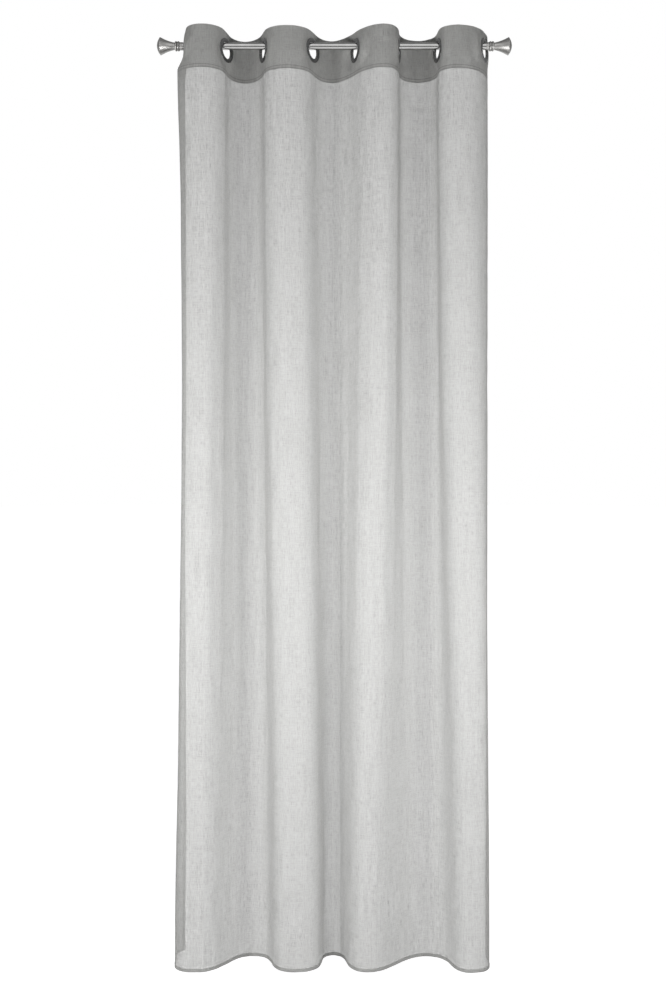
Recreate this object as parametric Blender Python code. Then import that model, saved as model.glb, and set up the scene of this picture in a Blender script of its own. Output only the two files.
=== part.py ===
"""A sheer eyelet curtain gathered in folds on a steel rod with two turned finials.

Metres, +Z up. The rod's axis is the X axis and its middle is the origin. The viewer stands
at -Y. The curtain is one sheet of cloth, modelled as nine upright strips that meet at the
eyelets' centre lines, so that each strip can close up as its two eyelets slide together.
"""

import math

import bmesh
import bpy
from mathutils import Matrix, Vector

# Rod
ROD_R = 0.0095
ROD_WALL = 0.001
ROD_HALF = 0.413
GAP = 0.0003

# Curtain, laid flat
WIDTH = 1.40
EYELETS = 8
PITCH = WIDTH / EYELETS
HEADING_Z = -0.076  # the lower edge of the heading
TOP_Z = 0.037
HEM_Z = -2.462
CLOTH = 0.0008  # thickness of the sheet, and of the heading band behind it
LAYER = 0.00065  # from the sheet's middle surface to the middle of each layer

# Eyelets: where each one sits along the rod, and how far its plane leans off the YZ plane
EYELET_X = (-0.396, -0.2905, -0.190, -0.0587, 0.0565, 0.173, 0.2776, 0.4017)
EYELET_LEAN = (-6.0, 28.6, 21.9, 32.9, 20.9, 6.0, 14.8, 25.5)
EYELET_Z = -0.0116
BORE_R = 0.022
BARREL_R = 0.0232
FLANGE_R = 0.032
HOLE_R = 0.0242
FLAT = 0.033  # the cloth is flat this far either side of an eyelet's middle
FLAT_END_Z = -0.046  # and down to this height
RING_STEPS = 20

# The hem, from the left edge to the right one: distance along the flat cloth, place, heading
HEM_KEYS = (
    (0.000, (-0.404, 0.062), (-0.60, -0.80)),
    (0.075, (-0.417, 0.000), (0.0, -1.0)),
    (0.175, (-0.355, -0.056), (1.0, 0.0)),
    (0.350, (-0.225, 0.052), (1.0, 0.0)),
    (0.525, (-0.108, -0.056), (1.0, 0.0)),
    (0.700, (-0.003, 0.056), (1.0, 0.0)),
    (0.865, (0.088, -0.058), (1.0, 0.0)),
    (1.062, (0.246, 0.050), (1.0, 0.0)),
    (1.220, (0.357, -0.060), (1.0, 0.0)),
    (1.312, (0.413, -0.005), (0.0, 1.0)),
    (1.400, (0.416, 0.078), (0.1, 1.0)),
)
LEFT_EDGE = (-0.402, 0.085)  # the free edges at the heading
RIGHT_EDGE = (0.4215, 0.0845)
# How far the left edge stands out from the rest, by height
LEFT_FLARE = (
    (FLAT_END_Z, 0.0),
    (-0.085, -0.021),
    (-0.45, -0.012),
    (-1.00, -0.004),
    (-1.90, -0.002),
    (HEM_Z, -0.010),
)
FLARE_END = 0.175  # the flare fades out this far along the cloth

# Finials, by distance from the rod's middle
SLEEVE_IN = 0.407
COLLAR_IN = 0.415
COLLAR_OUT = 0.4283
FINIAL_OUT = 0.476
SLEEVE_R = 0.0104
STEM_R = 0.0094
COLLAR_R = 0.013
FLARE_R = 0.023
PLUG_IN = 0.380
PLUG_R = 0.0082
STUD_R = 0.004
STUD_OUT = 0.427
TURN_STEPS = 24


def clear_scene():
    for thing in list(bpy.data.objects):
        bpy.data.objects.remove(thing, do_unlink=True)


def material(name, colour, roughness, metallic=0.0, alpha=1.0):
    mat = bpy.data.materials.new(name)
    mat.use_nodes = True
    shader = mat.node_tree.nodes["Principled BSDF"]
    shader.inputs["Base Color"].default_value = (*colour, 1.0)
    shader.inputs["Roughness"].default_value = roughness
    shader.inputs["Metallic"].default_value = metallic
    shader.inputs["Alpha"].default_value = alpha
    return mat


def new_object(name, bm, mat, parent=None):
    bmesh.ops.recalc_face_normals(bm, faces=bm.faces)
    mesh = bpy.data.meshes.new(name)
    bm.to_mesh(mesh)
    bm.free()
    mesh.shade_smooth()
    mesh.set_sharp_from_angle(angle=math.radians(35))
    mesh.materials.append(mat)
    thing = bpy.data.objects.new(name, mesh)
    bpy.context.scene.collection.objects.link(thing)
    thing.parent = parent
    return thing


def empty(name, place, parent=None):
    thing = bpy.data.objects.new(name, None)
    thing.location = place
    bpy.context.scene.collection.objects.link(thing)
    if parent is not None:
        thing.parent = parent
        thing.location = Vector(place) - parent.matrix_world.translation
    bpy.context.view_layer.update()
    return thing


def turned(profile, steps):
    """A closed ring or solid of revolution about X from (x, radius) points."""
    bm = bmesh.new()
    corners = [bm.verts.new((x, 0.0, r)) for x, r in profile]
    edges = []
    for first, second in zip(corners, corners[1:]):
        edges.append(bm.edges.new((first, second)))
    on_axis = profile[0][1] == 0.0 and profile[-1][1] == 0.0
    if not on_axis:
        edges.append(bm.edges.new((corners[-1], corners[0])))
    bmesh.ops.spin(
        bm,
        geom=corners + edges,
        cent=(0, 0, 0),
        axis=(1, 0, 0),
        angle=2 * math.pi,
        steps=steps,
        use_merge=True,
    )
    bmesh.ops.remove_doubles(bm, verts=bm.verts, dist=1e-6)
    return bm


# ---------------------------------------------------------------- the cloth's plan


def bezier(points, t):
    a, b, c, d = points
    s = 1 - t
    return a * s**3 + b * (3 * s * s * t) + c * (3 * s * t * t) + d * t**3


def arc_length(points, steps=24):
    line = [bezier(points, n / steps) for n in range(steps + 1)]
    return sum((q - p).length for p, q in zip(line, line[1:]))


def bend(start, start_way, end, end_way, length):
    """A curve between two places that is as long as the cloth between them."""
    start, end = Vector(start), Vector(end)
    start_way, end_way = Vector(start_way).normalized(), Vector(end_way).normalized()
    low, high = 0.001, 0.14
    for _ in range(30):
        reach = (low + high) / 2
        points = (start, start + start_way * reach, end - end_way * reach, end)
        if arc_length(points) < length:
            low = reach
        else:
            high = reach
    return points


def eyelet_along(k):
    return PITCH * (k + 0.5)


def eyelet_way(k):
    """The way the cloth runs through eyelet k: forward at the first one, then in turns."""
    lean = math.radians(EYELET_LEAN[k])
    turn = 1 if k % 2 else -1
    return Vector((math.sin(lean), turn * math.cos(lean)))


def heading_curves():
    """(start, end, curve) pieces of the plan at the heading, by distance along the cloth."""
    pieces = []
    centre = [Vector((x, 0.0)) for x in EYELET_X]
    way = [eyelet_way(k) for k in range(EYELETS)]
    inner = centre[0] - way[0] * FLAT
    edge = Vector(LEFT_EDGE)
    free = PITCH / 2 - FLAT
    pieces.append((0.0, free, bend(edge, inner - edge, inner, way[0], free)))
    for k in range(EYELETS):
        along = eyelet_along(k)
        start, end = centre[k] - way[k] * FLAT, centre[k] + way[k] * FLAT
        third = (end - start) / 3
        straight = (start, start + third, end - third, end)
        pieces.append((along - FLAT, along + FLAT, straight))
        if k + 1 < EYELETS:
            nxt = centre[k + 1] - way[k + 1] * FLAT
            curve = bend(end, way[k], nxt, way[k + 1], PITCH - 2 * FLAT)
            pieces.append((along + FLAT, along + PITCH - FLAT, curve))
    outer = centre[-1] + way[-1] * FLAT
    edge = Vector(RIGHT_EDGE)
    pieces.append((WIDTH - free, WIDTH, bend(outer, way[-1], edge, edge - outer, free)))
    return pieces


def hem_curves():
    pieces = []
    for (u0, p0, way0), (u1, p1, way1) in zip(HEM_KEYS, HEM_KEYS[1:]):
        pieces.append((u0, u1, bend(p0, way0, p1, way1, u1 - u0)))
    return pieces


HEADING_PLAN = heading_curves()
HEM_PLAN = hem_curves()


def on_plan(plan, u):
    for start, end, curve in plan:
        if u <= end:
            return bezier(curve, max(0.0, (u - start) / (end - start)))
    return bezier(plan[-1][2], 1.0)


def smooth(t):
    t = min(1.0, max(0.0, t))
    return t * t * (3 - 2 * t)


def left_flare(z):
    for (z0, d0), (z1, d1) in zip(LEFT_FLARE, LEFT_FLARE[1:]):
        if z >= z1:
            return d0 + (d1 - d0) * smooth((z0 - z) / (z0 - z1))
    return LEFT_FLARE[-1][1]


def sheet_at(u, z):
    """The middle surface of the sheet, at a distance along the cloth and a height."""
    fall = smooth((FLAT_END_Z - z) / (FLAT_END_Z - HEM_Z))
    plan = on_plan(HEADING_PLAN, u).lerp(on_plan(HEM_PLAN, u), fall)
    flare = left_flare(z) * smooth((FLARE_END - u) / (FLARE_END - PITCH / 2))
    return Vector((plan.x + flare, plan.y, z))


def front_of(u, z):
    """The way the cloth's front faces."""
    step = 0.0005
    before = sheet_at(max(0.0, u - step), z)
    after = sheet_at(min(WIDTH, u + step), z)
    along = (after - before).normalized()
    return Vector((along.y, -along.x, 0.0))


# ---------------------------------------------------------------- strips of cloth


def rows(low):
    """Heights of a strip's rows, with how far each eyelet's hole cuts into the row's ends."""
    found = [(TOP_Z, 0.0)]
    steps = 6
    for n in range(steps + 1):
        turn = math.pi * n / steps
        found.append((EYELET_Z + HOLE_R * math.cos(turn), HOLE_R * math.sin(turn)))
    found += [(FLAT_END_Z, 0.0), (HEADING_Z, 0.0)]
    if low < HEADING_Z:
        found += [(z, 0.0) for z in (-0.09, -0.25, -0.60, -1.05, -1.50, -2.00, HEM_Z)]
    return found


def strip(start, end, low, offset, fold_steps):
    """A surface between two distances along the cloth, notched where it meets an eyelet."""
    notch_start, notch_end = start > 0.0, end < WIDTH
    first = start + (FLAT if notch_start else 0.0)
    last = end - (FLAT if notch_end else 0.0)
    bm = bmesh.new()
    grid = []
    for z, cut in rows(low):
        along = [first + (last - first) * n / fold_steps for n in range(fold_steps + 1)]
        if notch_start:
            along.insert(0, start + max(cut, GAP / 2))
        if notch_end:
            along.append(end - max(cut, GAP / 2))
        line = [sheet_at(u, z) + front_of(u, z) * offset for u in along]
        grid.append([bm.verts.new(p) for p in line])
    for upper, lower in zip(grid, grid[1:]):
        for n in range(len(upper) - 1):
            bm.faces.new((upper[n], lower[n], lower[n + 1], upper[n + 1]))
    return bm


def thick(thing, thickness):
    solid = thing.modifiers.new("thickness", "SOLIDIFY")
    solid.thickness = thickness
    solid.offset = 0.0
    solid.use_even_offset = True
    return thing


def strip_names():
    """(name, start, end, steps across the fold, the eyelet that carries it) of each strip."""
    found = [("edge_left", 0.0, eyelet_along(0), 4, 0)]
    for k in range(EYELETS - 1):
        found.append((f"fold_{k + 1}", eyelet_along(k), eyelet_along(k + 1), 6, k))
    found.append(("edge_right", eyelet_along(EYELETS - 1), WIDTH, 4, EYELETS - 1))
    return found


def add_curtain(carriers, cloth, lining):
    for name, start, end, steps, k in strip_names():
        for kind, low, side, mat in (
            ("curtain", HEM_Z, 1, cloth),
            ("heading", HEADING_Z, -1, lining),
        ):
            bm = strip(start, end, low, side * LAYER, steps)
            middle = carriers[k].matrix_world.translation
            bmesh.ops.translate(bm, verts=bm.verts, vec=-middle)
            thick(new_object(f"{kind}_{name}", bm, mat, carriers[k]), CLOTH)


# ---------------------------------------------------------------- eyelets

CLAMP = LAYER + CLOTH / 2 + GAP  # from the sheet's middle surface to each flange


def eyelet_front_profile():
    return (
        (-0.0032, BORE_R),
        (0.0026, BORE_R),
        (0.0038, BORE_R + 0.0011),
        (0.0041, BORE_R + 0.0036),
        (0.0032, BORE_R + 0.0073),
        (CLAMP + 0.0006, FLANGE_R),
        (CLAMP, FLANGE_R),
        (CLAMP, BARREL_R),
        (-0.0032, BARREL_R),
    )


def eyelet_back_profile():
    return (
        (-CLAMP, BARREL_R + GAP),
        (-CLAMP, FLANGE_R),
        (-CLAMP - 0.0006, FLANGE_R),
        (-0.0034, BORE_R + 0.0066),
        (-0.0036, BARREL_R + GAP),
    )


def add_eyelets(carriers, steel):
    for k, carrier in enumerate(carriers):
        way = eyelet_way(k)
        facing = math.atan2(-way.x, way.y)
        turn = Matrix.Rotation(facing, 4, "Z")
        for kind, profile in (
            ("front", eyelet_front_profile()),
            ("back", eyelet_back_profile()),
        ):
            thing = new_object(
                f"eyelet_{k + 1}_{kind}", turned(profile, RING_STEPS), steel, carrier
            )
            thing.location = (0.0, 0.0, EYELET_Z)
            thing.rotation_euler = turn.to_euler()


# ---------------------------------------------------------------- rod and finials


def add_rod(steel):
    inner = ROD_R - ROD_WALL
    profile = (
        (-ROD_HALF, inner),
        (-ROD_HALF, ROD_R),
        (ROD_HALF, ROD_R),
        (ROD_HALF, inner),
    )
    return new_object("rod_tube", turned(profile, 32), steel)


def arc(centre, radius, start, end, steps):
    """Points (x, radius) on an arc of a turned profile, angles in degrees from +X."""
    found = []
    for n in range(steps + 1):
        a = math.radians(start + (end - start) * n / steps)
        found.append((centre[0] + radius * math.cos(a), centre[1] + radius * math.sin(a)))
    return found


def finial_profile():
    bore = ROD_R + GAP
    seat = ROD_HALF + GAP
    hole = STUD_R + GAP
    dip = 0.0015  # how hollow the trumpet is
    neck = (COLLAR_OUT + 0.0032, 0.0098)
    lip = (FINIAL_OUT - 0.0105, FLARE_R - 0.0006)
    trumpet = []
    for n in range(1, 5):
        t = n / 5
        x = neck[0] + (lip[0] - neck[0]) * t
        r = neck[1] + (lip[1] - neck[1]) * t - dip * math.sin(math.pi * t)
        trumpet.append((x, r))
    dome_r = 0.0335
    dome_x = FINIAL_OUT - dome_r
    rim = math.degrees(math.asin((FLARE_R - 0.0022) / dome_r))
    dome = arc((dome_x, 0.0), dome_r, rim, 0.0, 4)
    dome[-1] = (FINIAL_OUT, 0.0)
    return [
        (STUD_OUT + 0.001, 0.0),
        (STUD_OUT + 0.001, hole),
        (seat, hole),
        (seat, bore),
        (SLEEVE_IN, bore),
        (SLEEVE_IN, SLEEVE_R),
        (COLLAR_IN, SLEEVE_R),
        (COLLAR_IN, STEM_R),
        (COLLAR_OUT, STEM_R),
        neck,
        *trumpet,
        lip,
        (FINIAL_OUT - 0.0088, FLARE_R),
        *dome,
    ]


def collar_profile():
    inner = STEM_R + GAP
    start, end = COLLAR_IN + GAP, COLLAR_OUT - GAP
    bead = (end - start) / 4
    low = COLLAR_R - bead
    beads = arc((start + bead, low), bead, 180, 0, 6) + arc((end - bead, low), bead, 180, 0, 6)[1:]
    return [(start, inner), *beads, (end, inner)]


def plug_profile():
    """A ribbed plug that is pushed into the tube's end, with a stud in the finial."""
    rib, rest = 0.0035, PLUG_R - 0.0009
    found = [(PLUG_IN, 0.0), (PLUG_IN, PLUG_R - 0.002), (PLUG_IN + 0.002, PLUG_R)]
    for n in range(1, 4):
        x = PLUG_IN + 0.002 + rib * (2 * n - 1)
        found += [(x, PLUG_R), (x, rest), (x + rib, rest), (x + rib, PLUG_R)]
    shoulder = ROD_HALF - 0.001
    found += [(shoulder, PLUG_R), (shoulder, STUD_R), (STUD_OUT, STUD_R), (STUD_OUT, 0.0)]
    return found


def add_finial(side, name, nickel, plastic):
    carrier = empty(f"{name}_slide", (side * SLEEVE_IN, 0.0, 0.0))
    turn = Matrix.Identity(4) if side > 0 else Matrix.Rotation(math.pi, 4, "Z")
    for kind, profile, mat in (
        ("body", finial_profile(), nickel),
        ("collar", collar_profile(), nickel),
        ("plug", plug_profile(), plastic),
    ):
        bm = turned(profile, TURN_STEPS)
        bmesh.ops.transform(bm, matrix=turn, verts=bm.verts)
        bmesh.ops.translate(bm, verts=bm.verts, vec=(-side * SLEEVE_IN, 0, 0))
        new_object(f"{name}_{kind}", bm, mat, carrier)


def build():
    clear_scene()
    steel = material("brushed_steel", (0.62, 0.61, 0.60), 0.28, 1.0)
    nickel = material("satin_nickel", (0.55, 0.54, 0.53), 0.30, 1.0)
    dark_chrome = material("dark_chrome", (0.12, 0.12, 0.12), 0.22, 1.0)
    plastic = material("black_plastic", (0.03, 0.03, 0.03), 0.5)
    cloth = material("sheer_cloth", (0.50, 0.50, 0.48), 0.9)
    lining = material("heading_band", (0.33, 0.33, 0.32), 0.9)
    add_rod(steel)
    swing = empty("curtain_swing_axis", (EYELET_X[0], 0.0, 0.0))
    carriers = [swing]
    for k in range(1, EYELETS):
        carriers.append(empty(f"eyelet_{k + 1}_slide", (EYELET_X[k], 0.0, 0.0), carriers[-1]))
    add_eyelets(carriers, dark_chrome)
    add_curtain(carriers, cloth, lining)
    add_finial(-1, "finial_left", nickel, plastic)
    add_finial(1, "finial_right", nickel, plastic)


build()
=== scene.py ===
"""Looks of the sheer eyelet curtain on its rod: draped cloth, hems, stitches and materials.

The sheet of cloth is worked out from its plan at the heading and its plan at the hem, both of
which keep the length of cloth between the eyelets. It is cut into nine strips at the eyelets'
middles, and each strip is blended between its two eyelets, so the folds close with them.
"""

import math

import bmesh
import bpy
import numpy as np
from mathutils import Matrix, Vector


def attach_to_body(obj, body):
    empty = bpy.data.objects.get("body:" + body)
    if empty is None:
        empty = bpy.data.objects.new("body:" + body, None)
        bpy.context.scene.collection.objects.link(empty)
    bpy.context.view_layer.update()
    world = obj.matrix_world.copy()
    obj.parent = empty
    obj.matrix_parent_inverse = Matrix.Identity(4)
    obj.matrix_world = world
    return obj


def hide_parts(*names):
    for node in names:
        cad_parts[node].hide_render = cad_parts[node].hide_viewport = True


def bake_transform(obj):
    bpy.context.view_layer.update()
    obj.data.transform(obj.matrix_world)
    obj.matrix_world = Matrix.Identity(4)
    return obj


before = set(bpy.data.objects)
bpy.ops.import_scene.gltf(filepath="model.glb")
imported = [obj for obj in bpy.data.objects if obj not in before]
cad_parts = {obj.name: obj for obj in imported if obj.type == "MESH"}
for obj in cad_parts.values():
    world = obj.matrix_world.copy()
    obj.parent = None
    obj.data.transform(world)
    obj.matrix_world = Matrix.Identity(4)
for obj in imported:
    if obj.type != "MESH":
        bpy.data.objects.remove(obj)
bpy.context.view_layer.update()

# ---------------------------------------------------------------- sizes

# The flat sheet, in metres. u runs along the cloth from its left edge, z up from the rod's axis.
WIDTH = 1.40
EYELETS = 8
PITCH = WIDTH / EYELETS
TOP_Z = 0.037
HEADING_Z = -0.076  # the bottom of the turned-over heading
HEM_Z = -2.462
LAYER = 0.00065  # from the middle of the two heading layers to the middle of either

# The eyelets: where each is on the rod, and the cloth's degrees from straight across the rod there
EYELET_X = (-0.396, -0.2905, -0.190, -0.0587, 0.0565, 0.173, 0.2776, 0.4017)
EYELET_LEAN = (-6.0, 28.6, 21.9, 32.9, 20.9, 6.0, 14.8, 25.5)
EYELET_Z = -0.0116
HOLE_R = 0.0242
RING_FLAT = 0.0318  # a ring holds the cloth flat inside this radius
RING_EASE = 0.028  # and the cloth takes this much more to reach its round folds
NEAR_RING = 0.033  # the cloth's columns are finer this close to an eyelet's middle
FLAT_END_Z = -0.046  # the folds keep their plan down to here, then ease into the hem's

# The folds' plan at the heading, away from the rings, and at the hem
ROUND = 0.005  # the cloth is straight this far either side of an eyelet's middle
ROUND_LEAN = (-6.0, 9.0, 15.0, 20.0, 31.0, 6.0, 1.0, 25.5)
LEFT_EDGE = (-0.402, 0.085)
RIGHT_EDGE = (0.4215, 0.0845)
# (distance along the cloth, place seen from above, the way the cloth runs there)
HEM_KEYS = (
    (0.000, (-0.404, 0.062), (-0.60, -0.80)),
    (0.075, (-0.417, 0.000), (0.0, -1.0)),
    (0.175, (-0.355, -0.056), (1.0, 0.0)),
    (0.350, (-0.225, 0.052), (1.0, 0.0)),
    (0.525, (-0.108, -0.056), (1.0, 0.0)),
    (0.700, (-0.003, 0.056), (1.0, 0.0)),
    (0.859, (0.088, -0.057), (1.0, 0.0)),
    (1.055, (0.247, 0.050), (1.0, 0.0)),
    (1.227, (0.360, -0.060), (1.0, 0.0)),
    (1.314, (0.413, -0.007), (0.0, 1.0)),
    (1.400, (0.416, 0.078), (0.1, 1.0)),
)
# Above 1, the curve after that key keeps its first direction longer than its last
HEM_SHARE = {0.525: 1.35, 0.700: 0.85, 1.055: 1.15}

# (height, how far the left fold moves along the rod there), fading to none at u = FLARE_END
LEFT_FLARE = (
    (TOP_Z, 0.001),
    (-0.012, -0.012),
    (-0.068, -0.0235),
    (-0.45, -0.012),
    (-1.00, -0.004),
    (-1.90, -0.002),
    (HEM_Z, -0.010),
)
FLARE_END = 0.175
EDGE_FLARE = 0.45  # the free edge behind moves this much of the left fold's flare
EDGE_TUCK = 0.006  # and tucks in this far halfway down

# Creases pressed into the cloth: (distance along the cloth, half width, height)
CREASES = (
    (0.700, 0.012, -0.0018),
    (0.722, 0.009, -0.0012),
    (1.082, 0.006, 0.0020),
    (0.345, 0.014, -0.0007),
)

HEM_DEPTH = 0.009
SIDE_HEM = 0.011
HEM_THICK = 0.0013
HEM_DROP = 0.0006  # the bottom hem reaches this far below the cloth's own edge
HEM_BACK = 0.0001  # and its middle lies this far behind the cloth's
STITCH_PITCH = 0.0042
STITCH_LONG = 0.0029
STITCH_R = 0.00028
STITCH_SIDES = 5
STITCH_IN = 0.0016  # from a hem's inner edge to its seam
HEADING_SEAM_Z = HEADING_Z + 0.008

COLUMN = 0.0035  # spacing of the cloth's columns
RING_COLUMNS = 8  # columns beside each hole

# The settling sheet: its grid, the heights it is held above and loose below, its most shift
SETTLE_U = np.linspace(0.0, WIDTH, 141)
SETTLE_Z = np.linspace(TOP_Z, HEM_Z, 201)
HELD_Z = -0.12
LOOSE_Z = -0.24
SETTLE_STEPS = 14
MOST_SHIFT = 0.005

THREAD = 0.00062  # from one thread of the weave to the next
THREAD_DRIFT = 0.0016  # how far a thread wanders from straight
SLUB_RANGE = (0.80, 1.20)  # the slub pattern's thinnest and densest weave
SLANT_CLOSES = 0.20  # how much more of the light a slanting view of the weave stops
SEAM_DARKENS = 0.36

FLOOR_Z = -2.56
AMBIENT = 0.20  # the white room's strength on the cloth
MIRRORED = 0.30  # and in the metal's reflections

# ---------------------------------------------------------------- the cloth's plan


def bezier(points, t):
    a, b, c, d = (np.asarray(p, float) for p in points)
    t = np.asarray(t, float)[:, None]
    s = 1 - t
    return a * s**3 + b * (3 * s * s * t) + c * (3 * s * t * t) + d * t**3


def line_length(line):
    return float(np.linalg.norm(np.diff(line, axis=0), axis=1).sum())


def unit(v):
    v = np.asarray(v, float)
    return v / np.linalg.norm(v)


def bend(start, start_way, end, end_way, length, share=1.0):
    """A curve between two places that is as long as the cloth between them.

    Where share is above 1 the curve keeps its first direction longer than its last.
    """
    start, end = np.asarray(start, float), np.asarray(end, float)
    start_way, end_way = unit(start_way), unit(end_way)
    ts = np.linspace(0, 1, 97)
    low, high = 0.001, 0.14
    for _ in range(30):  # halves the bracket until the length fits
        reach = (low + high) / 2
        first, last = reach * share, reach / share
        line = bezier((start, start + start_way * first, end - end_way * last, end), ts)
        if line_length(line) < length:
            low = reach
        else:
            high = reach
    return line


def eyelet_along(k):
    return PITCH * (k + 0.5)


def eyelet_way(k, leans=EYELET_LEAN):
    lean = math.radians(leans[k])
    turn = 1 if k % 2 else -1
    return np.array((math.sin(lean), turn * math.cos(lean)))


def even(pieces):
    """One table (distance, x, y) from (start, end, line) pieces, even along each line."""
    table = []
    for start, end, line in pieces:
        steps = np.linalg.norm(np.diff(line, axis=0), axis=1)
        along = np.r_[0, np.cumsum(steps)]
        along = start + (end - start) * along / along[-1]
        skip = 1 if table else 0
        table.append(np.c_[along, line][skip:])
    return np.vstack(table)


def heading_plan(straight, leans):
    """The plan at the heading, with the cloth straight this far either side of each eyelet."""
    centre = [np.array((x, 0.0)) for x in EYELET_X]
    way = [eyelet_way(k, leans) for k in range(EYELETS)]
    free = PITCH / 2 - straight
    inner, edge = centre[0] - way[0] * straight, np.array(LEFT_EDGE)
    pieces = [(0.0, free, bend(edge, inner - edge, inner, way[0], free))]
    for k in range(EYELETS):
        along = eyelet_along(k)
        start, end = centre[k] - way[k] * straight, centre[k] + way[k] * straight
        pieces.append((along - straight, along + straight, np.array((start, end))))
        if k + 1 < EYELETS:
            after = centre[k + 1] - way[k + 1] * straight
            line = bend(end, way[k], after, way[k + 1], PITCH - 2 * straight)
            pieces.append((along + straight, along + PITCH - straight, line))
    outer, edge = centre[-1] + way[-1] * straight, np.array(RIGHT_EDGE)
    pieces.append((WIDTH - free, WIDTH, bend(outer, way[-1], edge, edge - outer, free)))
    return even(pieces)


def hem_plan():
    pieces = []
    for (u0, p0, way0), (u1, p1, way1) in zip(HEM_KEYS, HEM_KEYS[1:]):
        pieces.append((u0, u1, bend(p0, way0, p1, way1, u1 - u0, HEM_SHARE.get(u0, 1.0))))
    return even(pieces)


ROUND_PLAN = heading_plan(ROUND, ROUND_LEAN)
WAYS = np.array([eyelet_way(k) for k in range(EYELETS)])
HEM_PLAN = hem_plan()


def smooth(t):
    t = np.clip(t, 0.0, 1.0)
    return t * t * (3 - 2 * t)


def left_flare(z):
    found = np.full_like(z, LEFT_FLARE[-1][1])
    for (z0, d0), (z1, d1) in reversed(list(zip(LEFT_FLARE, LEFT_FLARE[1:]))):
        here = z >= z1
        found = np.where(here, d0 + (d1 - d0) * smooth((z0 - z) / (z0 - z1)), found)
    return found


def on_plan(plan, u):
    return np.interp(u, plan[:, 0], plan[:, 1]), np.interp(u, plan[:, 0], plan[:, 2])


def waves(u, z, seed, pieces, wide, tall):
    """Soft uneven waves from -1 to 1, about wide across and tall along."""
    rng = np.random.default_rng(seed)
    total = np.zeros(np.broadcast(u, z).shape)
    for _ in range(pieces):
        across = 2 * math.pi / (wide * rng.uniform(0.7, 1.5))
        along = 2 * math.pi / (tall * rng.uniform(0.7, 1.6)) * rng.choice((-1, 1))
        total += np.sin(across * u + along * z + rng.uniform(0, 2 * math.pi))
    return total / math.sqrt(pieces)


def plain_sheet(u, z):
    """The sheet without its small creases: folds only."""
    u, z = np.broadcast_arrays(u, z)
    fall = smooth((FLAT_END_Z - z) / (FLAT_END_Z - HEM_Z))
    top_x, top_y = on_plan(ROUND_PLAN, u)
    nearest = np.clip((u / PITCH).astype(int), 0, EYELETS - 1)
    beside = u - PITCH * (nearest + 0.5)
    round_here = smooth((np.hypot(beside, z - EYELET_Z) - RING_FLAT) / RING_EASE)
    flat_x = np.array(EYELET_X)[nearest] + WAYS[nearest, 0] * beside
    flat_y = WAYS[nearest, 1] * beside
    top_x = flat_x + (top_x - flat_x) * round_here
    top_y = flat_y + (top_y - flat_y) * round_here
    hem_x, hem_y = on_plan(HEM_PLAN, u)
    flare = left_flare(z) * smooth((FLARE_END - u) / (FLARE_END - PITCH / 2))
    behind = smooth((0.070 - u) / 0.070)
    flare = flare * round_here * (1 - (1 - EDGE_FLARE) * behind)
    flare = flare - EDGE_TUCK * behind * np.sin(math.pi * fall) ** 2
    x = top_x + (hem_x - top_x) * fall + flare
    y = top_y + (hem_y - top_y) * fall
    return np.stack((x, y, z + 0 * x), -1)


def front_of(u, z):
    """The way the cloth's front faces."""
    step = 0.001
    along = plain_sheet(np.minimum(WIDTH, u + step), z) - plain_sheet(np.maximum(0, u - step), z)
    length = np.linalg.norm(along[..., :2], axis=-1)
    return np.stack((along[..., 1] / length, -along[..., 0] / length, 0 * length), -1)


def crease(u, middle, half):
    """A narrow ridge across the cloth, 1 at its middle."""
    return np.maximum(0.0, 1 - np.abs(u - middle) / half) ** 2


def small_folds(u, z):
    """How far the cloth stands off its plain folds: shallow flutes and a few creases."""
    below = smooth((HEADING_Z + 0.006 - z) / 0.30)
    near_hem = smooth((-1.2 - z) / 1.0)
    flutes = 0.0005 * waves(u, z, 3, 6, 0.050, 3.2) * (1 - 0.5 * near_hem)
    dents = 0.00015 * waves(u, z, 5, 6, 0.05, 0.45)
    pinch = sum(height * crease(u, middle, half) for middle, half, height in CREASES)
    stiff = 0.00025 * waves(u, z, 9, 5, 0.03, 0.08)
    ring = np.abs(((u / PITCH) % 1.0) - 0.5) * PITCH
    away = smooth((ring - NEAR_RING) / 0.02)
    return below * (flutes + dents + pinch) + away * (stiff + 0.6 * pinch * (1 - below))


def grid_faces(rows, columns, closed=False):
    faces = []
    for r in range(rows if closed else rows - 1):
        below = (r + 1) % rows
        for c in range(columns - 1):
            a, b = r * columns + c, below * columns + c
            faces.append((a, b, b + 1, a + 1))
    return faces


def draped_sheet(u, z, draped):
    """A temporary sheet with two shapes, as it is draped and flat, held along its heading."""
    mesh = bpy.data.meshes.new("settling")
    mesh.from_pydata([tuple(p) for p in draped.reshape(-1, 3)], [], grid_faces(*u.shape))
    sheet = bpy.data.objects.new("settling", mesh)
    bpy.context.scene.collection.objects.link(sheet)
    sheet.shape_key_add(name="draped")
    flat = sheet.shape_key_add(name="flat")
    flat.data.foreach_set("co", np.stack((u, 0 * u, z), -1).astype(np.float32).ravel())
    held = sheet.vertex_groups.new(name="held")
    for i, weight in enumerate(smooth((z.ravel() - LOOSE_Z) / (HELD_Z - LOOSE_Z))):
        held.add([i], float(weight), "REPLACE")
    return sheet


def add_cloth(sheet):
    """Thin cloth that takes its size from the sheet's flat shape and falls calmly."""
    modifier = sheet.modifiers.new("settling", "CLOTH")
    modifier.collision_settings.use_collision = False
    modifier.point_cache.frame_end = SETTLE_STEPS
    cloth = modifier.settings
    cloth.rest_shape_key = sheet.data.shape_keys.key_blocks["flat"]
    cloth.vertex_group_mass = "held"
    cloth.quality = 6
    cloth.mass = 0.012
    cloth.tension_stiffness = cloth.compression_stiffness = 12.0
    cloth.tension_damping = cloth.compression_damping = 10.0
    cloth.shear_stiffness, cloth.shear_damping = 3.0, 10.0
    cloth.bending_stiffness = 0.5
    cloth.air_damping = 6.0


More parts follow.
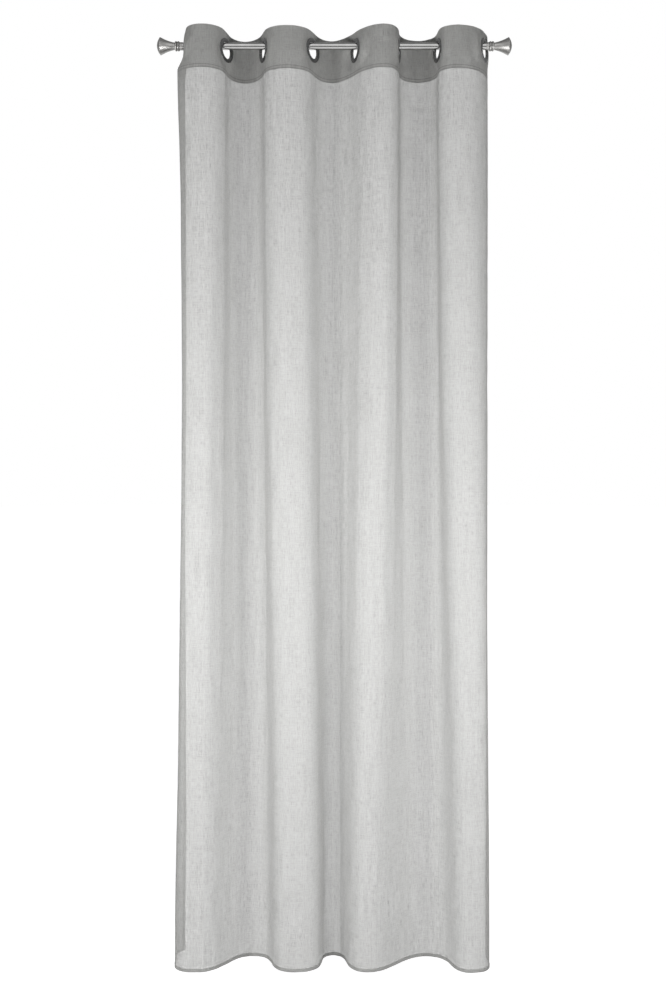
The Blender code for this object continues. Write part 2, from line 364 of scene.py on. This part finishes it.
def softened(field):
    """The field without its finest ripples, which are smaller than the settling grid can show."""
    for axis in (0, 1, 1):
        for _ in range(3):
            ends = np.take(field, (0, -1), axis)
            padded = np.concatenate(
                (np.take(ends, (0,), axis), field, np.take(ends, (1,), axis)), axis
            )
            count = field.shape[axis]
            before, after = (np.take(padded, range(k, k + count), axis) for k in (0, 2))
            field = (before + 2 * field + after) / 4
    return field


def settled_shift():
    """How far each place on the sheet moves as it settles, as cloth hanging from its heading.

    The sheet starts as it is draped and takes its true size from its flat shape, so wherever
    the drape is short of cloth the cloth buckles into soft folds of its own.
    """
    u, z = np.meshgrid(SETTLE_U, SETTLE_Z)
    draped = plain_sheet(u, z)
    scene = bpy.context.scene
    sheet = draped_sheet(u, z, draped)
    mesh = sheet.data
    add_cloth(sheet)
    for step in range(1, SETTLE_STEPS + 1):
        scene.frame_set(step)
    settled = sheet.evaluated_get(bpy.context.evaluated_depsgraph_get()).data
    places = np.empty(draped.size, np.float32)
    settled.vertices.foreach_get("co", places)
    scene.frame_set(1)
    bpy.data.objects.remove(sheet)
    bpy.data.meshes.remove(mesh)
    shift = softened(places.reshape(draped.shape) - draped)
    far = np.linalg.norm(shift, axis=-1, keepdims=True)
    return shift * np.minimum(1.0, MOST_SHIFT / np.maximum(far, 1e-9))


SHIFT = settled_shift()


def shift_at(u, z):
    """The settling cloth's shift anywhere on the sheet, between its measured places."""
    column = np.clip(u / WIDTH, 0, 1) * (len(SETTLE_U) - 1)
    row = np.clip((TOP_Z - z) / (TOP_Z - HEM_Z), 0, 1) * (len(SETTLE_Z) - 1)
    c = np.minimum(column.astype(int), len(SETTLE_U) - 2)
    r = np.minimum(row.astype(int), len(SETTLE_Z) - 2)
    across, down = (column - c)[..., None], (row - r)[..., None]
    upper = SHIFT[r, c] * (1 - across) + SHIFT[r, c + 1] * across
    lower = SHIFT[r + 1, c] * (1 - across) + SHIFT[r + 1, c + 1] * across
    return upper * (1 - down) + lower * down


def sheet_at(u, z, offset=0.0):
    """A place on the cloth, offset metres in front of its middle surface."""
    u, z = np.asarray(u, float), np.asarray(z, float)
    off = offset + small_folds(u, z)
    place = plain_sheet(u, z) + front_of(u, z) * np.asarray(off)[..., None]
    return place + shift_at(u, z)


def edge_rise(u):
    """The turned-back side edges ride up a little at the hem."""
    left = smooth((0.075 - u) / 0.075) * 0.014
    right = smooth((u - 1.335) / 0.065) * 0.006
    return left + right


# ---------------------------------------------------------------- meshes


def new_piece(name, verts, faces, mat, uvs=None):
    mesh = bpy.data.meshes.new(name)
    mesh.from_pydata([tuple(v) for v in verts], [], faces)
    if uvs is not None:
        layer = mesh.uv_layers.new(name="cloth")
        corners = np.empty(len(mesh.loops), np.int32)
        mesh.loops.foreach_get("vertex_index", corners)
        layer.data.foreach_set("uv", np.asarray(uvs, np.float32)[corners].ravel())
    mesh.materials.append(mat)
    mesh.shade_smooth()
    thing = bpy.data.objects.new(name, mesh)
    bpy.context.scene.collection.objects.link(thing)
    return thing


def strip_columns(start, end, cuts):
    """Distances along the cloth of a strip's columns, one row for each hole cut."""
    parts = []
    share = np.linspace(0, 1, RING_COLUMNS + 1)
    cuts = np.asarray(cuts)[:, None]
    first, last = start, end
    if start > 0:
        parts.append(start + cuts + (NEAR_RING - cuts) * share[None, :-1])
        first = start + NEAR_RING
    if end < WIDTH:
        last = end - NEAR_RING
    count = round((last - first) / COLUMN)
    middle = np.linspace(first, last, count + 1)
    parts.append(np.repeat(middle[None], len(cuts), 0))
    if end < WIDTH:
        parts.append(end - cuts - (NEAR_RING - cuts) * share[None, ::-1][:, 1:])
    return np.concatenate(parts, 1)


def heading_rows():
    """Heights of the rows in the heading, with the hole's cut in each."""
    turns = np.linspace(0, math.pi, 25)
    rows = [(z, 0.0) for z in np.linspace(TOP_Z, EYELET_Z + HOLE_R, 8)[:-1]]
    rows += [(EYELET_Z + HOLE_R * math.cos(a), HOLE_R * math.sin(a)) for a in turns]
    rows += [(z, 0.0) for z in np.linspace(EYELET_Z - HOLE_R, FLAT_END_Z, 4)[1:]]
    rows += [(z, 0.0) for z in np.linspace(FLAT_END_Z, HEADING_Z, 9)[1:]]
    return rows


def cloth_rows():
    """Heights of all the cloth's rows, with the hole's cut in each."""
    rows = heading_rows()
    rows += [(z, 0.0) for z in np.linspace(HEADING_Z, -0.20, 14)[1:]]
    rows += [(z, 0.0) for z in np.linspace(-0.20, HEM_Z, 150)[1:]]
    return rows


def hem_lift(u, z):
    """The cloth's height at a row, which rises near the side edges."""
    return z + edge_rise(u) * smooth((-1.6 - z) / (-1.6 - HEM_Z))


def cloth_strip(name, start, end, mat):
    rows = cloth_rows()
    z = np.array([r[0] for r in rows])
    u = strip_columns(start, end, [r[1] for r in rows])
    z = np.repeat(z[:, None], u.shape[1], 1)
    place = sheet_at(u, z, LAYER)
    place[..., 2] = hem_lift(u, z)
    uvs = np.stack((u, place[..., 2] - HEM_Z), -1).reshape(-1, 2)
    return new_piece(name, place.reshape(-1, 3), grid_faces(*u.shape), mat, uvs)


def heading_strip(name, start, end, mat):
    """The turned-over layer behind the heading: over the top fold and down the back."""
    back = heading_rows()
    u = strip_columns(start, end, [r[1] for r in back])
    z = np.repeat(np.array([r[0] for r in back])[:, None], u.shape[1], 1)
    place = [sheet_at(u, z, -LAYER)]
    over = []
    for angle in np.linspace(0, math.pi, 7)[:-1]:
        offset = LAYER * math.cos(angle)
        p = sheet_at(u[:1], z[:1], offset)
        p[..., 2] += LAYER * math.sin(angle)
        over.append(p)
    tuck = []
    for drop, offset in ((0.0006, -0.0004), (0.0004, 0.0002), (-0.0035, 0.00028)):
        tuck.append(sheet_at(u[-1:], z[-1:] - drop, offset))
    place = np.concatenate(over + place + tuck, 0)
    across = np.repeat(u[:1], place.shape[0], 0)
    across[len(over) : len(over) + len(u)] = u
    uvs = np.stack((across, place[..., 2] - HEM_Z), -1).reshape(-1, 2)
    shape = place.shape[:2]
    return new_piece(name, place.reshape(-1, 3), grid_faces(*shape), mat, uvs)


def hem_profile(depth):
    """A flat turned-up hem's outline: (offset, height above the edge), a closed ring."""
    half = HEM_THICK / 2
    ring = []
    for a in np.linspace(math.pi, 2 * math.pi, 7):
        ring.append((half * math.cos(a), half * (1 + math.sin(a))))
    for a in np.linspace(0, math.pi, 5):
        ring.append((half * math.cos(a), depth - half * 0.6 * (1 - math.sin(a))))
    return ring


def bottom_hem(name, start, end, mat):
    count = max(6, round((end - start) / COLUMN))
    along = np.linspace(start, end, count + 1)
    rows = []
    for offset, rise in hem_profile(HEM_DEPTH):
        z = np.full_like(along, HEM_Z + rise)
        place = sheet_at(along, z, LAYER + offset - HEM_BACK)
        place[..., 2] = hem_lift(along, z) - HEM_DROP
        rows.append(place)
    rows = np.array(rows)
    uvs = np.stack((np.repeat(along[None], len(rows), 0), rows[..., 2] - HEM_Z), -1)
    shape = rows.shape[:2]
    faces = grid_faces(*shape, closed=True)
    return new_piece(name, rows.reshape(-1, 3), faces, mat, uvs.reshape(-1, 2))


def side_hem(name, at_left, mat):
    """The doubled hem down a free side edge."""
    z = np.array([r[0] for r in cloth_rows()])
    columns = []
    for offset, inward in hem_profile(SIDE_HEM):
        u = np.full_like(z, inward if at_left else WIDTH - inward)
        place = sheet_at(u, z, LAYER + offset - HEM_BACK)
        place[..., 2] = hem_lift(u, z)
        columns.append(place)
    columns = np.array(columns)
    uvs = np.stack((np.zeros(columns.shape[:2]), columns[..., 2] - HEM_Z), -1)
    for row, (_, inward) in zip(uvs, hem_profile(SIDE_HEM)):
        row[:, 0] = inward if at_left else WIDTH - inward
    faces = grid_faces(*columns.shape[:2], closed=True)
    if not at_left:
        faces = [f[::-1] for f in faces]
    return new_piece(name, columns.reshape(-1, 3), faces, mat, uvs.reshape(-1, 2))


def add_stitch(verts, faces, start, end, front):
    """Adds one short raised thread to a mesh's lists."""
    ends = end - start
    up = np.cross(ends / np.linalg.norm(ends), front)
    first = len(verts)
    for t, wide in ((0.0, 0.35), (0.3, 1.0), (0.7, 1.0), (1.0, 0.35)):
        base = start + ends * t + front * STITCH_R * 0.7 * math.sin(math.pi * t)
        for a in range(STITCH_SIDES):
            turn = 2 * math.pi * a / STITCH_SIDES
            ring = front * math.cos(turn) + up * math.sin(turn)
            verts.append(base + ring * STITCH_R * wide)
    for r in range(3):
        for a in range(STITCH_SIDES):
            b = (a + 1) % STITCH_SIDES
            lower, upper = first + r * STITCH_SIDES, first + (r + 1) * STITCH_SIDES
            faces.append((lower + a, lower + b, upper + b, upper + a))
    faces.append(tuple(first + a for a in range(STITCH_SIDES - 1, -1, -1)))
    faces.append(tuple(first + 3 * STITCH_SIDES + a for a in range(STITCH_SIDES)))


def stitch_on_sheet(verts, faces, u, z, offset):
    """Adds one stitch between two places on the cloth, raised from its front or its back."""
    start, end = sheet_at(u, z, offset)
    start[2], end[2] = hem_lift(u, z)
    front = front_of(u[:1], z[:1])[0] * (1 if offset > 0 else -1)
    add_stitch(verts, faces, start, end, front)


def seam_across(verts, faces, start, end, z, offset):
    """Stitches along a level seam of one strip."""
    count = int((end - start) / STITCH_PITCH)
    begin = start + (np.arange(count) + 0.5) * (end - start) / count - STITCH_LONG / 2
    for u in np.clip(begin, 0.001, WIDTH - 0.001 - STITCH_LONG):
        stitch_on_sheet(verts, faces, np.array((u, u + STITCH_LONG)), np.full(2, z), offset)


def seam_down(verts, faces, u, offset, top, bottom):
    """Stitches down a side hem."""
    count = int((top - bottom) / STITCH_PITCH)
    for z in top - (np.arange(count) + 0.5) * STITCH_PITCH:
        stitch_on_sheet(verts, faces, np.full(2, u), np.array((z, z - STITCH_LONG)), offset)


# ---------------------------------------------------------------- materials


class Nodes:
    """Short names for the nodes that the materials share."""

    def __init__(self, name):
        self.mat = bpy.data.materials.new(name)
        self.mat.use_nodes = True
        self.tree = self.mat.node_tree
        self.shader = self.tree.nodes["Principled BSDF"]
        self.out = self.tree.nodes["Material Output"]

    def add(self, kind, **values):
        node = self.tree.nodes.new(kind)
        for key, value in values.items():
            setattr(node, key, value)
        return node

    def link(self, a, b):
        self.tree.links.new(a, b)

    def math(self, operation, a, b=None, c=None, clamp=False):
        node = self.add("ShaderNodeMath", operation=operation, use_clamp=clamp)
        for socket, item in zip(node.inputs, (a, b, c)):
            if item is None:
                continue
            if isinstance(item, (int, float)):
                socket.default_value = item
            else:
                self.link(item, socket)
        return node.outputs[0]

    def span(self, value, low, high, to_low, to_high):
        """Maps low to high onto to_low to to_high, and holds outside them."""
        node = self.add("ShaderNodeMapRange", clamp=True)
        self.link(value, node.inputs["Value"])
        for name, item in zip(
            ("From Min", "From Max", "To Min", "To Max"), (low, high, to_low, to_high)
        ):
            node.inputs[name].default_value = item
        return node.outputs["Result"]

    def scaled(self, vector, scale):
        node = self.add("ShaderNodeMapping", vector_type="POINT")
        self.link(vector, node.inputs["Vector"])
        node.inputs["Scale"].default_value = scale
        return node.outputs["Vector"]

    def noise(self, vector, scale, detail=2.0, rough=0.5):
        node = self.add("ShaderNodeTexNoise", noise_dimensions="3D")
        self.link(vector, node.inputs["Vector"])
        node.inputs["Scale"].default_value = scale
        node.inputs["Detail"].default_value = detail
        node.inputs["Roughness"].default_value = rough
        return node.outputs["Fac"]

    def blend(self, fac, low, high):
        node = self.add("ShaderNodeMix", data_type="RGBA")
        self.link(fac, node.inputs["Factor"])
        node.inputs["A"].default_value = (*low, 1.0)
        node.inputs["B"].default_value = (*high, 1.0)
        return node.outputs["Result"]

    def bump(self, height, distance, strength=1.0):
        node = self.add("ShaderNodeBump")
        self.link(height, node.inputs["Height"])
        node.inputs["Distance"].default_value = distance
        node.inputs["Strength"].default_value = strength
        return node.outputs["Normal"]

    def mixed(self, share, first, second):
        """Two shaders mixed: share, a number or a node's output, is how much of the second."""
        node = self.add("ShaderNodeMixShader")
        if isinstance(share, float):
            node.inputs[0].default_value = share
        else:
            self.link(share, node.inputs[0])
        self.link(first, node.inputs[1])
        self.link(second, node.inputs[2])
        return node.outputs[0]


def thread_pattern(n, uv, across, up):
    """The threads of a plain weave, from -1 between them to 1 on them, a little off straight."""
    drift = n.noise(n.scaled(uv, (9.0, 9.0, 1.0)), 1.0, 1.0)
    across = n.math("MULTIPLY_ADD", drift, THREAD_DRIFT, across)
    up = n.math("MULTIPLY_ADD", drift, THREAD_DRIFT, up)
    warp = n.math("SINE", n.math("MULTIPLY", across, 2 * math.pi / THREAD))
    weft = n.math("SINE", n.math("MULTIPLY", up, 2 * math.pi / THREAD))
    return n.math("MAXIMUM", warp, weft)


def slub_pattern(n, uv):
    """Thick places, long one way and a few threads wide the other: about 1 on the average."""
    warp_slub = n.noise(n.scaled(uv, (700.0, 60.0, 1.0)), 1.0, 2.0, 0.6)
    weft_slub = n.noise(n.scaled(uv, (60.0, 700.0, 1.0)), 1.0, 2.0, 0.6)
    warp_band = n.noise(n.scaled(uv, (300.0, 9.0, 1.0)), 1.0, 2.0, 0.5)
    weft_band = n.noise(n.scaled(uv, (14.0, 300.0, 1.0)), 1.0, 2.0, 0.5)
    slub = n.math("ADD", n.math("MULTIPLY", warp_slub, 1.15), n.math("MULTIPLY", weft_slub, 0.85))
    band = n.math("ADD", n.math("MULTIPLY", warp_band, 1.25), n.math("MULTIPLY", weft_band, 0.75))
    return n.math("ADD", n.math("MULTIPLY", slub, 0.70), n.math("MULTIPLY", band, 0.30))


def seam_tone(n, up, seams):
    """Darker where the cloth is turned in and sewn: near 1 on each (height, half width) seam."""
    total = None
    for height, half in seams:
        away = n.math("ABSOLUTE", n.math("SUBTRACT", up, height - HEM_Z))
        near = n.span(away, half * 0.5, half, 1.0, 0.0)
        total = near if total is None else n.math("MAXIMUM", total, near)
    return total


def cover(n, threads, uneven, thin, dense):
    """How much the weave hides: more at slubs and on threads, and where it is seen at a slant."""
    filled = n.span(uneven, *SLUB_RANGE, thin, dense)
    holes = n.span(threads, -1.0, 1.0, -0.05, 0.05)
    slant = n.add("ShaderNodeLayerWeight")
    slant.inputs["Blend"].default_value = 0.5
    closed = n.math("MULTIPLY", n.math("POWER", slant.outputs["Facing"], 2.0), SLANT_CLOSES)
    return n.math("ADD", n.math("ADD", filled, holes), closed, clamp=True)


def cloth_material(name, dark, light, thin, dense, through, seams=()):
    """A sheer plain weave with slubs: uneven threads both ways, and gaps between them.

    It covers from thin to dense of what is behind it, and through is the share of the light on
    it that shows on its other side.
    """
    n = Nodes(name)
    uv = n.add("ShaderNodeUVMap", uv_map="cloth").outputs["UV"]
    split = n.add("ShaderNodeSeparateXYZ")
    n.link(uv, split.inputs[0])
    across, up = split.outputs["X"], split.outputs["Y"]
    threads = thread_pattern(n, uv, across, up)
    uneven = slub_pattern(n, uv)
    body = n.span(uneven, *SLUB_RANGE, 0.0, 1.0)
    if seams:
        body = n.math("MULTIPLY_ADD", seam_tone(n, up, seams), SEAM_DARKENS, body, clamp=True)
    tone = n.blend(body, light, dark)
    normal = n.bump(n.math("ADD", n.math("MULTIPLY", threads, 0.30), uneven), 0.00055, 0.9)
    n.link(tone, n.shader.inputs["Base Color"])
    n.link(normal, n.shader.inputs["Normal"])
    n.link(n.span(body, 0.0, 1.0, 0.72, 0.92), n.shader.inputs["Roughness"])
    n.shader.inputs["Specular IOR Level"].default_value = 0.25
    n.shader.inputs["Sheen Weight"].default_value = 0.12
    n.shader.inputs["Sheen Roughness"].default_value = 0.5
    glow = n.add("ShaderNodeBsdfTranslucent")
    n.link(tone, glow.inputs["Color"])
    n.link(normal, glow.inputs["Normal"])
    clear = n.add("ShaderNodeBsdfTransparent")
    lit = n.mixed(through, n.shader.outputs[0], glow.outputs[0])
    seen = n.mixed(cover(n, threads, uneven, thin, dense), clear.outputs[0], lit)
    n.link(seen, n.out.inputs["Surface"])
    return n.mat


def thread_material():
    n = Nodes("stitch_thread")
    place = n.add("ShaderNodeTexCoord").outputs["Object"]
    twist = n.noise(n.scaled(place, (2600.0, 2600.0, 1400.0)), 1.0, 2.0)
    fuzz = n.noise(place, 900.0, 2.0)
    n.link(n.blend(twist, (0.115, 0.115, 0.11), (0.22, 0.22, 0.21)), n.shader.inputs["Base Color"])
    n.link(n.span(fuzz, 0.3, 0.7, 0.6, 0.85), n.shader.inputs["Roughness"])
    n.link(n.bump(twist, 0.0001, 0.8), n.shader.inputs["Normal"])
    n.shader.inputs["Sheen Weight"].default_value = 0.3
    return n.mat


def metal_material(name, dark, light, rough, grain_scale, bump, scuff=0.06):
    """Polished or brushed metal: fine grain, faint cloudy tarnish and small scuffs."""
    n = Nodes(name)
    place = n.add("ShaderNodeTexCoord").outputs["Object"]
    grain = n.noise(n.scaled(place, grain_scale), 1.0, 3.0, 0.6)
    cloud = n.noise(place, 38.0, 4.0, 0.6)
    speck = n.noise(place, 1500.0, 1.0)
    tone = n.math("ADD", n.math("MULTIPLY", cloud, 0.65), n.math("MULTIPLY", grain, 0.35))
    n.link(n.blend(n.span(tone, 0.3, 0.7, 0.0, 1.0), dark, light), n.shader.inputs["Base Color"])
    marks = n.math("ADD", n.math("MULTIPLY", grain, 0.7), n.math("MULTIPLY", speck, 0.3))
    n.link(n.span(marks, 0.3, 0.7, rough, rough + scuff), n.shader.inputs["Roughness"])
    n.link(n.bump(marks, bump, 0.7), n.shader.inputs["Normal"])
    n.shader.inputs["Metallic"].default_value = 1.0
    return n.mat


def plastic_material():
    n = Nodes("plug_plastic_look")
    place = n.add("ShaderNodeTexCoord").outputs["Object"]
    pits = n.noise(place, 1800.0, 2.0)
    cloud = n.noise(place, 60.0, 3.0)
    n.link(n.blend(cloud, (0.018, 0.018, 0.019), (0.035, 0.035, 0.036)), n.shader.inputs["Base Color"])
    n.link(n.span(pits, 0.3, 0.7, 0.42, 0.6), n.shader.inputs["Roughness"])
    n.link(n.bump(pits, 0.00008, 0.7), n.shader.inputs["Normal"])
    return n.mat


def finish_metal(node_name, mat, edge):
    """Gives a turned part its material, smooth turned faces and edges rounded by edge."""
    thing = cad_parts[node_name]
    for slot in thing.material_slots:
        slot.material = mat
    thing.data.polygons.foreach_set("use_smooth", [True] * len(thing.data.polygons))
    weld = thing.modifiers.new("weld", "WELD")
    weld.merge_threshold = 0.00001
    bevel = thing.modifiers.new("edges", "BEVEL")
    bevel.limit_method = "ANGLE"
    bevel.angle_limit = math.radians(38)
    bevel.width = edge
    bevel.segments = 2
    normals = thing.modifiers.new("normals", "WEIGHTED_NORMAL")
    normals.mode = "FACE_AREA_WITH_ANGLE"


def dress_metalwork():
    rod = metal_material(
        "rod_steel_look", (0.38, 0.377, 0.372), (0.48, 0.477, 0.472), 0.13, (60.0, 3200.0, 3200.0), 0.00003
    )
    nickel = metal_material(
        "finial_nickel_look", (0.33, 0.325, 0.315), (0.45, 0.445, 0.435), 0.36, (2600.0, 90.0, 90.0), 0.00004
    )
    chrome = metal_material(
        "eyelet_chrome_look", (0.20, 0.20, 0.203), (0.30, 0.30, 0.302), 0.20, (900.0, 900.0, 900.0), 0.00002
    )
    plastic = plastic_material()
    finish_metal("rod_tube", rod, 0.0002)
    for side in ("left", "right"):
        finish_metal(f"finial_{side}_body", nickel, 0.0004)
        finish_metal(f"finial_{side}_collar", nickel, 0.0002)
        finish_metal(f"finial_{side}_plug", plastic, 0.0002)
    for k in range(1, EYELETS + 1):
        finish_metal(f"eyelet_{k}_front", chrome, 0.0003)
        finish_metal(f"eyelet_{k}_back", chrome, 0.0003)


# ---------------------------------------------------------------- the curtain


def strips():
    """(name, start, end, index of the fold or None) of each strip, left to right."""
    found = [("edge_left", 0.0, eyelet_along(0), None)]
    for k in range(EYELETS - 1):
        found.append((f"fold_{k + 1}", eyelet_along(k), eyelet_along(k + 1), k))
    found.append(("edge_right", eyelet_along(EYELETS - 1), WIDTH, None))
    return found


def attach(piece, name, fold):
    if fold is None:
        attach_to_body(piece, "eyelet_1" if name == "edge_left" else "eyelet_8")
        return
    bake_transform(piece)


def match_normals(pieces):
    """Gives strips that meet at an eyelet's middle the same normals along the join."""
    sums = {}
    for piece in pieces:
        for v in piece.data.vertices:
            key = tuple(round(c * 20000) for c in v.co)
            sums[key] = sums.get(key, Vector()) + v.normal
    for piece in pieces:
        normals = []
        for v in piece.data.vertices:
            total = sums[tuple(round(c * 20000) for c in v.co)]
            normals.append(total.normalized() if total.length > 1e-9 else v.normal.copy())
        piece.data.normals_split_custom_set_from_vertices(normals)


def cloth_looks():
    """The materials of the single cloth, the heading, the hems and the thread."""
    sheer = cloth_material(
        "sheer_cloth_look", (0.355, 0.355, 0.345), (0.615, 0.615, 0.60), 0.645, 0.865, 0.25,
        ((HEADING_SEAM_Z, 0.0018), (HEADING_Z + 0.0004, 0.0026)),
    )
    band = cloth_material(
        "heading_band_look", (0.36, 0.36, 0.35), (0.73, 0.73, 0.713), 0.86, 1.0, 0.12,
        ((HEADING_SEAM_Z, 0.0016), (HEADING_Z, 0.0026), (TOP_Z, 0.0012)),
    )
    hemmed = cloth_material(
        "hem_cloth_look", (0.34, 0.34, 0.33), (0.475, 0.475, 0.462), 0.84, 0.99, 0.15
    )
    return sheer, band, hemmed, thread_material()


def strip_stitches(name, start, end, mat):
    """A strip's stitches: the heading's seam, the bottom hem's and a free edge's side hem's."""
    verts, faces = [], []
    for z, offset in (
        (HEADING_SEAM_Z, LAYER + 0.0001),
        (HEADING_SEAM_Z, -LAYER - 0.0001),
        (HEM_Z + HEM_DEPTH - STITCH_IN, LAYER + HEM_THICK / 2),
        (HEM_Z + HEM_DEPTH - STITCH_IN, LAYER - HEM_THICK / 2 - 0.0002),
    ):
        seam_across(verts, faces, start, end, z, offset)
    inward = SIDE_HEM - STITCH_IN
    for free, u in ((start == 0, inward), (end == WIDTH, WIDTH - inward)):
        if free:
            seam_down(verts, faces, u, LAYER + HEM_THICK / 2, TOP_Z - 0.004, HEM_Z + 0.012)
    return new_piece(f"stitches_{name}", verts, faces, mat)


def make_strip(name, start, end, looks):
    """All the pieces of one strip: cloth, heading layer, hem, then its trimmings."""
    sheer, band, hemmed, thread = looks
    pieces = [
        cloth_strip(f"cloth_{name}", start, end, sheer),
        heading_strip(f"heading_layer_{name}", start, end, band),
        bottom_hem(f"hem_{name}", start, end, hemmed),
    ]
    if start == 0:
        pieces.append(side_hem("side_hem_left", True, hemmed))
    if end == WIDTH:
        pieces.append(side_hem("side_hem_right", False, hemmed))
    pieces.append(strip_stitches(name, start, end, thread))
    return pieces


def declare_strip(name, start, end, fold, pieces):
    for piece in pieces:
        attach(piece, name, fold)
    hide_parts(f"curtain_{name}")
    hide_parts(f"heading_{name}")


def make_curtain():
    looks = cloth_looks()
    made = [(strip, make_strip(*strip[:3], looks)) for strip in strips()]
    for kind in range(3):  # the cloth, the heading layers, the hems
        match_normals([pieces[kind] for _, pieces in made])
    for strip, pieces in made:
        declare_strip(*strip, pieces)


# ---------------------------------------------------------------- studio


def stage_floor():
    """A plain pale floor that runs out of sight behind the curtain."""
    bm = bmesh.new()
    corners = [(-60, -3), (60, -3), (60, 300), (-60, 300)]
    bm.faces.new([bm.verts.new((x, y, FLOOR_Z)) for x, y in corners])
    mesh = bpy.data.meshes.new("studio_floor")
    bm.to_mesh(mesh)
    bm.free()
    mat = bpy.data.materials.new("studio_floor")
    mat.use_nodes = True
    shader = mat.node_tree.nodes["Principled BSDF"]
    shader.inputs["Base Color"].default_value = (0.40, 0.40, 0.40, 1)
    shader.inputs["Roughness"].default_value = 0.95
    shader.inputs["Emission Color"].default_value = (1, 1, 1, 1)
    shader.inputs["Emission Strength"].default_value = 0.93
    mesh.materials.append(mat)
    floor = bpy.data.objects.new("studio_floor", mesh)
    bpy.context.scene.collection.objects.link(floor)
    floor.visible_diffuse = False


def area_light(name, place, target, size, power):
    data = bpy.data.lights.new(name, "AREA")
    data.shape = "RECTANGLE"
    data.size, data.size_y = size
    data.energy = power
    lamp = bpy.data.objects.new(name, data)
    lamp.location = place
    way = Vector(target) - Vector(place)
    lamp.rotation_euler = way.to_track_quat("-Z", "Y").to_euler()
    bpy.context.scene.collection.objects.link(lamp)
    return lamp


def make_world():
    """A white room, dimmer in what it lights and mirrors than in what the camera sees."""
    world = bpy.data.worlds.new("studio")
    bpy.context.scene.world = world
    world.use_nodes = True
    tree = world.node_tree
    back = tree.nodes["Background"]
    back.inputs["Color"].default_value = (1, 1, 1, 1)
    rays = tree.nodes.new("ShaderNodeLightPath")
    seen = tree.nodes.new("ShaderNodeMix")
    seen.inputs["A"].default_value = AMBIENT
    seen.inputs["B"].default_value = 1.0
    tree.links.new(rays.outputs["Is Camera Ray"], seen.inputs["Factor"])
    mirrored = tree.nodes.new("ShaderNodeMix")
    mirrored.inputs["B"].default_value = MIRRORED
    tree.links.new(seen.outputs["Result"], mirrored.inputs["A"])
    tree.links.new(rays.outputs["Is Glossy Ray"], mirrored.inputs["Factor"])
    tree.links.new(mirrored.outputs["Result"], back.inputs["Strength"])


def make_studio():
    """Soft lights either side at half height, a fill, and a large card that only metal mirrors."""
    stage_floor()
    make_world()
    area_light("soft_left", (-1.50, -1.30, -1.42), (0, 0, -1.35), (0.5, 1.1), 27)
    area_light("soft_right", (1.50, -1.30, -1.42), (0, 0, -1.35), (0.5, 1.1), 22)
    fill = area_light("fill", (0, -1.6, -1.35), (0, 0, -1.35), (1.4, 0.6), 28)
    fill.visible_glossy = False
    fill.visible_camera = False
    shine = area_light("shine", (0, -2.2, 1.15), (0, 0, 0.9), (2.6, 2.8), 23)
    shine.visible_diffuse = False
    shine.visible_transmission = False
    bpy.context.scene.view_settings.view_transform = "Standard"


def make_camera():
    """Level with the middle of the drop, square to the rod, about three metres away."""
    data = bpy.data.cameras.new("camera")
    data.lens = 40.9
    camera = bpy.data.objects.new("camera", data)
    camera.location = (-0.0038, -3.05, -1.218)
    camera.rotation_euler = (math.radians(90), 0, 0)
    bpy.context.scene.collection.objects.link(camera)
    bpy.context.scene.camera = camera


make_camera()
dress_metalwork()
make_curtain()
make_studio()
